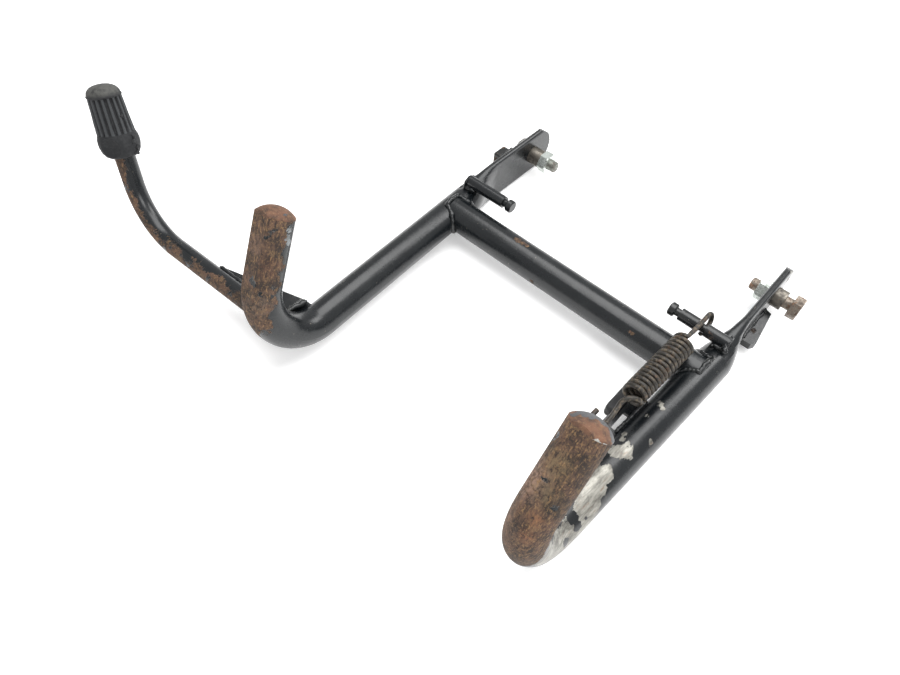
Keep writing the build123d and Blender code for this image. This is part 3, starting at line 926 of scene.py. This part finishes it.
@dataclass
class Lever:
    """The foot lever and its ribbed rubber."""

    rib_count: int = 18
    rib_depth: float = 1.5
    grip_radius: float = 12.1
    taper: float = 1.5
    cuff_radius: float = 15.0
    length: float = 53.0
    crown: float = 6.5
    rim_width: float = 2.2
    rod_radius: float = 7.8
    sides: int = 216
    ring_gap: float = 0.7
    dish_radius: float = 8.4
    dish_height: float = 9.0
    dish_face: float = 13.6
    dish_depth: float = 2.4
    dish_facing: tuple = (0.55, -0.76, 0.34)
    # the rod's bend: swept back, tilted up, turned out of the level
    sweep_deg: float = 3.4
    plane_deg: float = 77.0
    turn_deg: float = 73.0
    # each nub of the torn edge: height up the rubber, lift, size and sideways shift
    tear_facing: tuple = (0.86, 0.42, 0.15)
    tears: tuple = (
        (3.0, -1.2, 2.0, 0.0),
        (7.0, 0.1, 1.9, 1.2),
        (11.5, 0.4, 1.6, -1.4),
        (15.5, -0.2, 1.9, 0.3),
        (31.0, 0.3, 1.2, -2.0),
    )
    # the rod rusts on the side that faces the road, and more the higher it is
    rust_facing: tuple = (-0.74, -0.66, -0.12)
    rust_start: float = 0.36
    rust_climb: float = 0.0105

    def finer(self, rings: list[tuple[float, float]]) -> list[tuple[float, float]]:
        """The same outline with more rings.

        Args:
            rings: radius and height of each ring, in millimetres.

        Returns:
            The outline with a ring at least every ring_gap of height.
        """
        dense = [rings[0]]
        for (low_radius, low), (high_radius, high) in zip(rings, rings[1:]):
            count = max(1, math.ceil((high - low) / self.ring_gap))
            for step in range(1, count + 1):
                share = step / count
                dense.append((low_radius + share * (high_radius - low_radius), low + share * (high - low)))
        return dense

    def profile(self) -> list[tuple[float, float]]:
        """The rubber's outline.

        Returns:
            Radius and height of each ring, from the cuff to the dome.
        """
        cuff, grip, top = self.cuff_radius, self.grip_radius, self.length - self.crown
        mouth = self.rod_radius
        rings = [(mouth - 0.6, 1.2), (mouth + 1.2, 0.2), (cuff * 0.70, 0.5), (cuff * 0.84, 2.0)]
        rings += [(cuff * 0.94, 4.6), (cuff, 8.4), (cuff, 12.0), (cuff * 0.975, 14.8), (cuff * 0.93, 16.8)]
        rings += [(grip + self.taper, 18.2)]
        rings = rings[:2] + self.finer(rings[2:])
        start, end = 18.8, top - self.rim_width
        for step in range(9):
            share = step / 8
            rings.append((grip + self.taper * (1 - share), start + share * (end - start)))
        rim = grip + 0.55
        rings += [(grip + 0.2, end + 0.35), (rim, end + 0.9), (rim, top - 0.7), (grip + 0.1, top)]
        for angle in (12, 24, 36, 48, 60, 70, 79, 86):
            turn = math.radians(angle)
            rings.append((grip * math.cos(turn) ** 0.85, top + self.crown * math.sin(turn)))
        return rings

    def rubber(self) -> bpy.types.Object:
        """The rubber with its ribs pressed in.

        Returns:
            The rubber, standing on the origin.
        """
        piece = turned("pedal_rubber_moulded", self.profile(), self.sides)
        start, end = 18.7 * MM, (self.length - self.crown - self.rim_width + 0.1) * MM
        # 1 on the rib crowns and 0 in the grooves: where the material paints its highlight and its shade
        rib_highlight = piece.data.attributes.new("rib_highlight", "FLOAT", "POINT")
        for point in piece.data.vertices:
            angle = math.atan2(point.co.y, point.co.x)
            wave = math.cos(angle * self.rib_count)
            if start < point.co.z < end:
                groove = min(max((wave + 0.25) * 1.6, 0), 1)
                radius = math.hypot(point.co.x, point.co.y)
                share = 1 - groove * self.rib_depth * MM / radius
                point.co.x *= share
                point.co.y *= share
                rib_highlight.data[point.index].value = 1 - groove
        return piece

    def dish(self, piece: bpy.types.Object, front: Vector) -> None:
        """Presses a shallow round dish with a thin rim into the cuff.

        Args:
            piece: the rubber, standing on the origin.
            front: the way the dish faces, in the rubber's own frame and square to its axis.
        """
        across = Vector((0, 0, 1)).cross(front)
        for point in piece.data.vertices:
            out, side = point.co.dot(front) / MM, point.co.dot(across) / MM
            up = point.co.z / MM - self.dish_height
            away = math.hypot(side, up)
            if out < 5 or away > self.dish_radius + 1.2:
                continue
            floor = self.dish_face - self.dish_depth * max(0.0, 1 - (away / self.dish_radius) ** 2)
            if away > self.dish_radius - 0.6:
                floor = self.dish_face + 0.5
            if out > floor:
                point.co += front * (floor - out) * MM

    def build(self) -> None:
        """Models the rubber, its torn nubs, and dresses the lever."""
        low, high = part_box("pedal_rubber")
        piece = self.rubber()
        sweep, plane, turn = (math.radians(a) for a in (self.sweep_deg, self.plane_deg, self.turn_deg))
        out = Vector((-math.cos(sweep), -math.sin(sweep), 0))
        front = Vector((-math.sin(sweep), math.cos(sweep), 0))
        rise = front * math.cos(plane) + Vector((0, 0, math.sin(plane)))
        direction = out * math.cos(turn) + rise * math.sin(turn)
        base = (low + high) / 2 - direction * (self.length * 0.5 - 0.8) * MM
        side = direction.cross(Vector((0, 1, 0))).normalized()
        own = Matrix((side, direction.cross(side), direction)).transposed()
        faced = own.inverted() @ Vector(self.dish_facing)
        self.dish(piece, Vector((faced.x, faced.y, 0)).normalized())
        lumpy(piece, 0.3, 9.0, 2.0)
        piece.matrix_world = Matrix.Translation(base) @ own.to_4x4()
        top = self.length - self.crown
        material = OldRubber("pedal_rubber_old", bloom_start=(direction, base, top), ribbed=True).make()
        finished(piece, material, 50)
        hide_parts("pedal_rubber")
        given(piece, Body.STAND)
        towards = Vector(self.tear_facing)
        towards = (towards - direction * towards.dot(direction)).normalized()
        across = direction.cross(towards)
        for index, (height, lift, size, shift) in enumerate(self.tears):
            radius = self.cuff_radius if height < 17 else self.grip_radius + 0.6
            place = base + (direction * height + towards * (radius + lift - 0.6) + across * shift) * MM
            bpy.ops.object.select_all(action="DESELECT")
            bpy.ops.mesh.primitive_ico_sphere_add(subdivisions=3, radius=size * MM, location=place)
            nub = bpy.context.object
            nub.name = f"rubber_tear_{index}"
            only(nub)
            bpy.ops.object.transform_apply(location=True, rotation=True, scale=True)
            lumpy(nub, 1.3, 1.7, index * 3.1)
            finished(nub, material, 60)
            given(nub, Body.STAND)
        side = (Vector(self.rust_facing), self.rust_start, self.rust_climb)
        dress("foot_lever", StandPaint("lever_paint", rust_side=side, scratch=1.4).make())


@dataclass
class PivotHardware:
    """Bolts, nuts and sleeves at the ears."""

    thread_pitch: float = 1.5

    def build(self) -> None:
        """Dresses the hardware."""
        dress("left_pivot_nut", BrightZinc().make())
        dress("right_pivot_nut", BrightZinc("bright_zinc_right").make())
        for side, steel, rust in (("left", "#7d7f79", 0.34), ("right", "#857c72", 0.56)):
            bolt = WornSteel(f"{side}_bolt_steel", steel=steel, rust=rust, thread_mm=self.thread_pitch)
            dress(f"{side}_pivot_bolt", bolt.make())
        sleeve = WornSteel("sleeve_steel", steel="#77726a", grime="#36322d", rust=0.35, rough=0.32).make()
        for node in ("left_pivot_sleeve", "right_pivot_sleeve"):
            dress(node, sleeve)


@dataclass
class ReturnSpring:
    """The close-wound spring with its loop on the post and its long lower hook."""

    turns: int = 16
    pitch: float = 4.2
    wire_radius: float = 1.8
    coil_radius: float = 7.3
    start: float = -110.5
    height: float = 25.2
    post_y: float = -86.0
    loop_radius: float = 5.55
    slant_deg: float = 2.0
    hook_radius: float = 5.0
    eye_shift: float = 1.6
    loop_y: float = 8.2
    # the last half turn opens towards the spring's axis and runs out into the shank
    arch_run: float = 11.0
    arch_deg: float = 125.0
    arch_close: float = 0.55
    shank: float = 26.0
    steps: int = 28

    def path(self, seat: Vector) -> list[Vector]:
        """The line of the wire, from the loop through the coil to the hook.

        Args:
            seat: the middle of the post's neck, in millimetres.

        Returns:
            Its points in millimetres, counted from the seat.
        """
        points = []
        loop_y = self.loop_y
        rise = self.height - seat.z
        for y in (-1.5, 2.0, 5.0):
            points.append(Vector((self.eye_shift, y, -self.loop_radius)))
        for step in range(13):
            turn = math.pi * step / 12
            x = self.eye_shift * math.cos(turn)
            across, up = self.loop_radius * math.sin(turn), -self.loop_radius * math.cos(turn)
            points.append(Vector((x, loop_y + across, up)))
        first = self.start - self.post_y
        lift = self.coil_radius + rise
        for share in (0.2, 0.45, 0.7, 0.88):
            y = loop_y + share * (first - loop_y)
            ease = share * share
            x = -self.eye_shift * (1 - share)
            points.append(Vector((x, y, self.loop_radius + ease * (lift - self.loop_radius))))
        total = round((self.turns - 0.25) * self.steps)
        run = self.pitch * self.turns - 2 * self.wire_radius
        for step in range(total + 1):
            turn = 2 * math.pi * step / self.steps
            y = first - self.wire_radius - run * step / (self.turns * self.steps)
            side, up = self.coil_radius * math.sin(turn), self.coil_radius * math.cos(turn)
            points.append(Vector((-side, y, rise + up)))
        last = first - self.pitch * self.turns
        for step in range(1, 13):
            share = step / 12
            turn = math.radians(270 + self.arch_deg * share)
            radius = self.coil_radius * (1 - share * share * self.arch_close)
            y = last + self.wire_radius - self.arch_run * share**1.6
            points.append(Vector((-radius * math.sin(turn), y, rise + radius * math.cos(turn))))
        end = last - self.shank
        start_y, across = points[-1].y, points[-1].x
        for share in (0.2, 0.45, 0.7, 1.0):
            fade = (1 - share) ** 1.5
            height = rise + (points[-1].z - rise) * 0.5 * fade
            points.append(Vector((across * fade, start_y + share * (end - start_y), height)))
        for step in range(1, 13):
            turn = math.pi * step / 12
            x = -self.hook_radius * (1 - math.cos(turn))
            points.append(Vector((x, end - 1.5 - self.hook_radius * math.sin(turn), rise)))
        points.append(Vector((-2 * self.hook_radius, end + 3.0, rise)))
        return points

    def build(self) -> None:
        """Models the spring and hangs it on its post."""
        joint = next(j for j in frame["joints"] if j["name"] == "spring_swing")
        seat = Vector(joint["pos_m"]) / MM
        turn = Matrix.Rotation(math.radians(-self.slant_deg), 3, "Z")
        path = [(turn @ point + seat) * MM for point in self.path(seat)]
        piece = bent_wire("return_spring_wound", path, self.wire_radius, 3)
        finished(piece, SpringWire().make(), 60)
        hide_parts("return_spring")
        given(piece, Body.SPRING)


@dataclass
class Buffer:
    """The rubber bar on the bracket under the spring."""

    edge: float = 2.6
    hollow: float = 3.0
    hollow_share: float = 0.33

    def build(self) -> None:
        """Models the bar with rounded, rough faces and two dark hollows."""
        low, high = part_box("rubber_buffer")
        middle, size = (low + high) / 2, high - low
        bpy.ops.object.select_all(action="DESELECT")
        bpy.ops.mesh.primitive_cube_add(size=1, location=middle, scale=size)
        piece = bpy.context.object
        piece.name = "rubber_buffer_moulded"
        only(piece)
        bpy.ops.object.transform_apply(location=True, rotation=True, scale=True)
        bpy.ops.object.mode_set(mode="EDIT")
        bpy.ops.mesh.select_all(action="SELECT")
        bpy.ops.mesh.bevel(offset=self.edge * MM, segments=3)
        bpy.ops.mesh.subdivide(number_cuts=5)
        bpy.ops.object.mode_set(mode="OBJECT")
        for point in piece.data.vertices:
            for share in (-self.hollow_share, self.hollow_share):
                away = math.hypot(point.co.x - middle.x, point.co.y - middle.y - share * size.y) / MM
                if point.co.z > middle.z + size.z * 0.3 and away < self.hollow:
                    point.co.z -= self.hollow * MM * (1 - (away / self.hollow) ** 2)
        lumpy(piece, 0.4, 4.0, 5.0)
        rubber = OldRubber("buffer_rubber_old", face="#2c2c2d", grit_mm=1.8, grit_depth=0.3)
        finished(piece, rubber.make(), 60)
        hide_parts("rubber_buffer")
        given(piece, Body.STAND)


@dataclass
class Welds:
    """Hand-laid weld beads under the paint at every joint of the frame."""

    tube_radius: float = 13.6
    cross_y: float = -110.0
    cross_z: float = 2.0
    ear_x: float = 123.0
    toe_in: float = 8.0
    straight_from: float = -94.0
    straight_run: float = 170.5
    spacing: float = 0.7
    taper: float = 2.2
    lever_root: tuple = (-128.5, -294.0, 8.5)
    gusset_inner: tuple = (
        (-129.5, -285, 12.5),
        (-129.5, -280, 12.5),
        (-129.5, -274, 12.5),
        (-129.5, -268, 12.5),
    )
    gusset_upper: tuple = ((-127, -286, 17.5), (-127, -279, 15.5), (-127, -272, 14), (-127, -266, 13.2))
    gusset_rod: tuple = (
        (-203, -290.2, 11.5),
        (-190, -289.6, 11.5),
        (-170, -288.4, 11.5),
        (-150, -287.2, 11.5),
        (-138, -286.6, 11.5),
    )

    def leg_x(self, y: float) -> float:
        """Where the right leg's axis is, at y in millimetres."""
        return self.ear_x - self.toe_in * (self.straight_from - y) / self.straight_run

    def saddle(self, side: int, start: float, end: float) -> list[Vector]:
        """The line where the cross tube meets a leg.

        Args:
            side: -1 for the left leg, 1 for the right one.
            start: where it starts round the cross tube, in degrees from the top.
            end: where it ends.

        Returns:
            Its points in metres.
        """
        points = []
        for step in range(61):
            turn = math.radians(start + (end - start) * step / 60)
            y = self.cross_y + (self.tube_radius + 0.4) * math.sin(turn)
            z = self.cross_z + (self.tube_radius + 0.4) * math.cos(turn)
            inside = max(self.tube_radius**2 - z * z, 0.0)
            points.append(mm(side * (self.leg_x(y) - math.sqrt(inside)), y, z))
        return points

    def ring(self, centre: Vector, axis: Vector, radius: float, start: float, end: float) -> list[Vector]:
        """Part of a circle.

        Args:
            centre: its centre in millimetres.
            axis: the line through its centre that it is square to.
            radius: in millimetres.
            start: where it starts, in degrees.
            end: where it ends.

        Returns:
            Its points in metres.
        """
        across = axis.orthogonal().normalized()
        other = axis.cross(across).normalized()
        points = []
        for step in range(33):
            turn = math.radians(start + (end - start) * step / 32)
            points.append((centre + (across * math.cos(turn) + other * math.sin(turn)) * radius) * MM)
        return points

    def bead(
        self, name: str, path: list[Vector], radius: float, material: bpy.types.Material, seed: float
    ) -> None:
        """One bead: a thick wire, dense along its length, made lumpy.

        Args:
            name: the object's name.
            path: its line, in metres.
            radius: its radius in millimetres.
            material: its finish.
            seed: shifts the lumps, so that no two beads are alike.
        """
        dense = []
        for a, b in zip(path, path[1:]):
            count = max(1, round((b - a).length / (self.spacing * MM)))
            dense += [a.lerp(b, step / count) for step in range(count)]
        dense.append(path[-1])
        piece = bent_wire(name, dense, radius, 3, taper=round(self.taper / self.spacing))
        lumpy(piece, radius * 0.5, 4.6, seed)
        lumpy(piece, radius * 0.22, 1.8, seed + 7)
        finished(piece, material, 70)
        given(piece, Body.STAND)

    def build(self) -> None:
        """Lays every bead."""
        paint = StandPaint("weld_paint", worn="#34342f", rust_share=0.12, scratch=0.6).make()
        for side, word in ((-1, "left"), (1, "right")):
            self.bead(f"{word}_cross_weld", self.saddle(side, -150, 205), 2.0, paint, side * 4.0)
            low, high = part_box(f"{word}_spring_post")
            y, z = (low.y + high.y) / 2 / MM, (low.z + high.z) / 2 / MM
            x = side * self.leg_x(y)
            for offset in (-1, 1):
                place = [mm(x - side * step, y + offset * 4.2, z - 4.0) for step in (-4, 0, 4, 8)]
                name = f"{word}_post_weld_{'rear' if offset < 0 else 'front'}"
                self.bead(name, place, 2.4, paint, offset + side * 2.0)
            collar = self.ring(Vector((x + side * 1.0, y, z)), Vector((1, 0, 0)), 4.9, 90, 360)
            self.bead(f"{word}_post_collar_weld", collar, 1.8, paint, side * 9.0)
        root = self.ring(Vector(self.lever_root), Vector((1, 0.06, 0)), 8.6, 0, 350)
        self.bead("lever_root_weld", root, 2.4, paint, 11.0)
        for name, places, radius, seed in (
            ("gusset_leg_weld", self.gusset_inner, 2.4, 13.0),
            ("gusset_upper_weld", self.gusset_upper, 2.1, 14.0),
            ("gusset_rod_weld", self.gusset_rod, 1.5, 15.0),
        ):
            self.bead(name, [mm(*place) for place in places], radius, paint, seed)
        low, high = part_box("right_stop_tab")
        top, bottom = high.z / MM + 0.2, low.z / MM - 0.2
        for word, z in (("upper", top), ("lower", bottom)):
            line = [mm(127.4, y, z) for y in (-10, -16, -22, -28, -36, -44, -50)]
            self.bead(f"stop_tab_{word}_weld", line, 1.6, paint, z)
        low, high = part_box("left_stop_lug")
        ring = [(low.y, low.z), (high.y, low.z), (high.y, high.z), (low.y, high.z), (low.y, low.z)]
        self.bead("stop_lug_weld", [Vector((-127.2 * MM, y, z)) for y, z in ring], 1.4, paint, 21.0)
        low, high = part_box("buffer_bracket")
        inside = 0.2 - self.tube_radius
        line = [mm(self.leg_x(y) + inside, y, high.z / MM + 0.4) for y in (-158, -166, -174, -184, -194)]
        self.bead("bracket_weld", line, 1.5, paint, 23.0)


@dataclass
class Studio:
    """White table, broad soft light from above, and the camera."""

    lens_mm: float = 27.186
    sensor_mm: float = 36.0
    place: tuple = (0.1632, -0.4385, 0.4118)
    azimuth_deg: float = 40.72
    elevation_deg: float = 53.86
    roll_deg: float = 2.53
    shift_x: float = 0.0012
    floor_size: float = 80.0
    floor_glow: float = 0.22
    room_white: float = 0.72

    def floor(self) -> None:
        """A pale table just under the lowest point."""
        low = CAD_BOX[0][2]
        bpy.ops.object.select_all(action="DESELECT")
        bpy.ops.mesh.primitive_plane_add(size=self.floor_size, location=(0, 0, low - 0.0002))
        table = bpy.context.object
        table.name = "table"
        # a matte white sheet of paper: no gloss, and shadows that stay pale
        surface = Surface("white_table")
        tone = surface.blend(surface.grain(300, 2), "#fbfbfb", "#ffffff")
        surface.wear(Base_Color=tone, Roughness=0.9, Specular_IOR_Level=0.1)
        surface.wear(Emission_Color="#ffffff", Emission_Strength=self.floor_glow)
        table.data.materials.append(surface.material)

    def lights(self) -> None:
        """A bright white room and three large soft boxes."""
        world = bpy.data.worlds.new("white_room")
        bpy.context.scene.world = world
        world.use_nodes = True
        world.node_tree.nodes["Background"].inputs[0].default_value = (1.0, 1.0, 1.0, 1)
        world.node_tree.nodes["Background"].inputs[1].default_value = self.room_white
        for name, place, size, power in (
            ("soft_box_over", (-0.08, 0.08, 1.15), 1.0, 14.5),
            ("soft_box_back", (0.35, 0.9, 0.9), 0.6, 7.0),
            ("soft_box_side", (0.8, -0.4, 0.8), 0.5, 4.0),
        ):
            light = bpy.data.lights.new(name, "AREA")
            light.size = size
            light.energy = power
            lamp = bpy.data.objects.new(name, light)
            bpy.context.collection.objects.link(lamp)
            lamp.location = place
            aim = Vector((0, -0.12, 0)) - Vector(place)
            lamp.rotation_euler = aim.to_track_quat("-Z", "Y").to_euler()

    def camera(self) -> None:
        """The camera, with its lens and its roll."""
        azimuth, roll = math.radians(self.azimuth_deg), math.radians(self.roll_deg)
        elevation = math.radians(self.elevation_deg)
        level = math.cos(elevation)
        forward = Vector((-math.sin(azimuth) * level, math.cos(azimuth) * level, -math.sin(elevation)))
        right = Vector((math.cos(azimuth), math.sin(azimuth), 0))
        up = right.cross(forward)
        x_axis = right * math.cos(roll) + up * math.sin(roll)
        y_axis = up * math.cos(roll) - right * math.sin(roll)
        data = bpy.data.cameras.new("camera")
        data.sensor_width = self.sensor_mm
        data.sensor_fit = "HORIZONTAL"
        data.lens = self.lens_mm
        data.shift_x = self.shift_x
        data.clip_start = 0.01
        camera = bpy.data.objects.new("camera", data)
        bpy.context.collection.objects.link(camera)
        turn = Matrix((x_axis, y_axis, -forward)).transposed().to_4x4()
        camera.matrix_world = Matrix.Translation(Vector(self.place)) @ turn
        bpy.context.scene.camera = camera

    def build(self) -> None:
        """Sets up the studio."""
        self.floor()
        self.lights()
        self.camera()
        bpy.context.scene.view_settings.view_transform = "Standard"


def plain(box: tuple) -> list[list[float]]:
    """A box as plain lists of numbers."""
    return [[float(value) for value in corner] for corner in box]


def main() -> None:
    """Builds every sub-assembly in order."""
    logging.basicConfig(level=logging.INFO, format="%(message)s")
    parts = (FramePieces(), FootCaps(), Lever(), PivotHardware(), ReturnSpring(), Buffer(), Welds(), Studio())
    for part in parts:
        part.build()
        LOG.info("built %s", type(part).__name__)


if __name__ == "__main__":
    main()
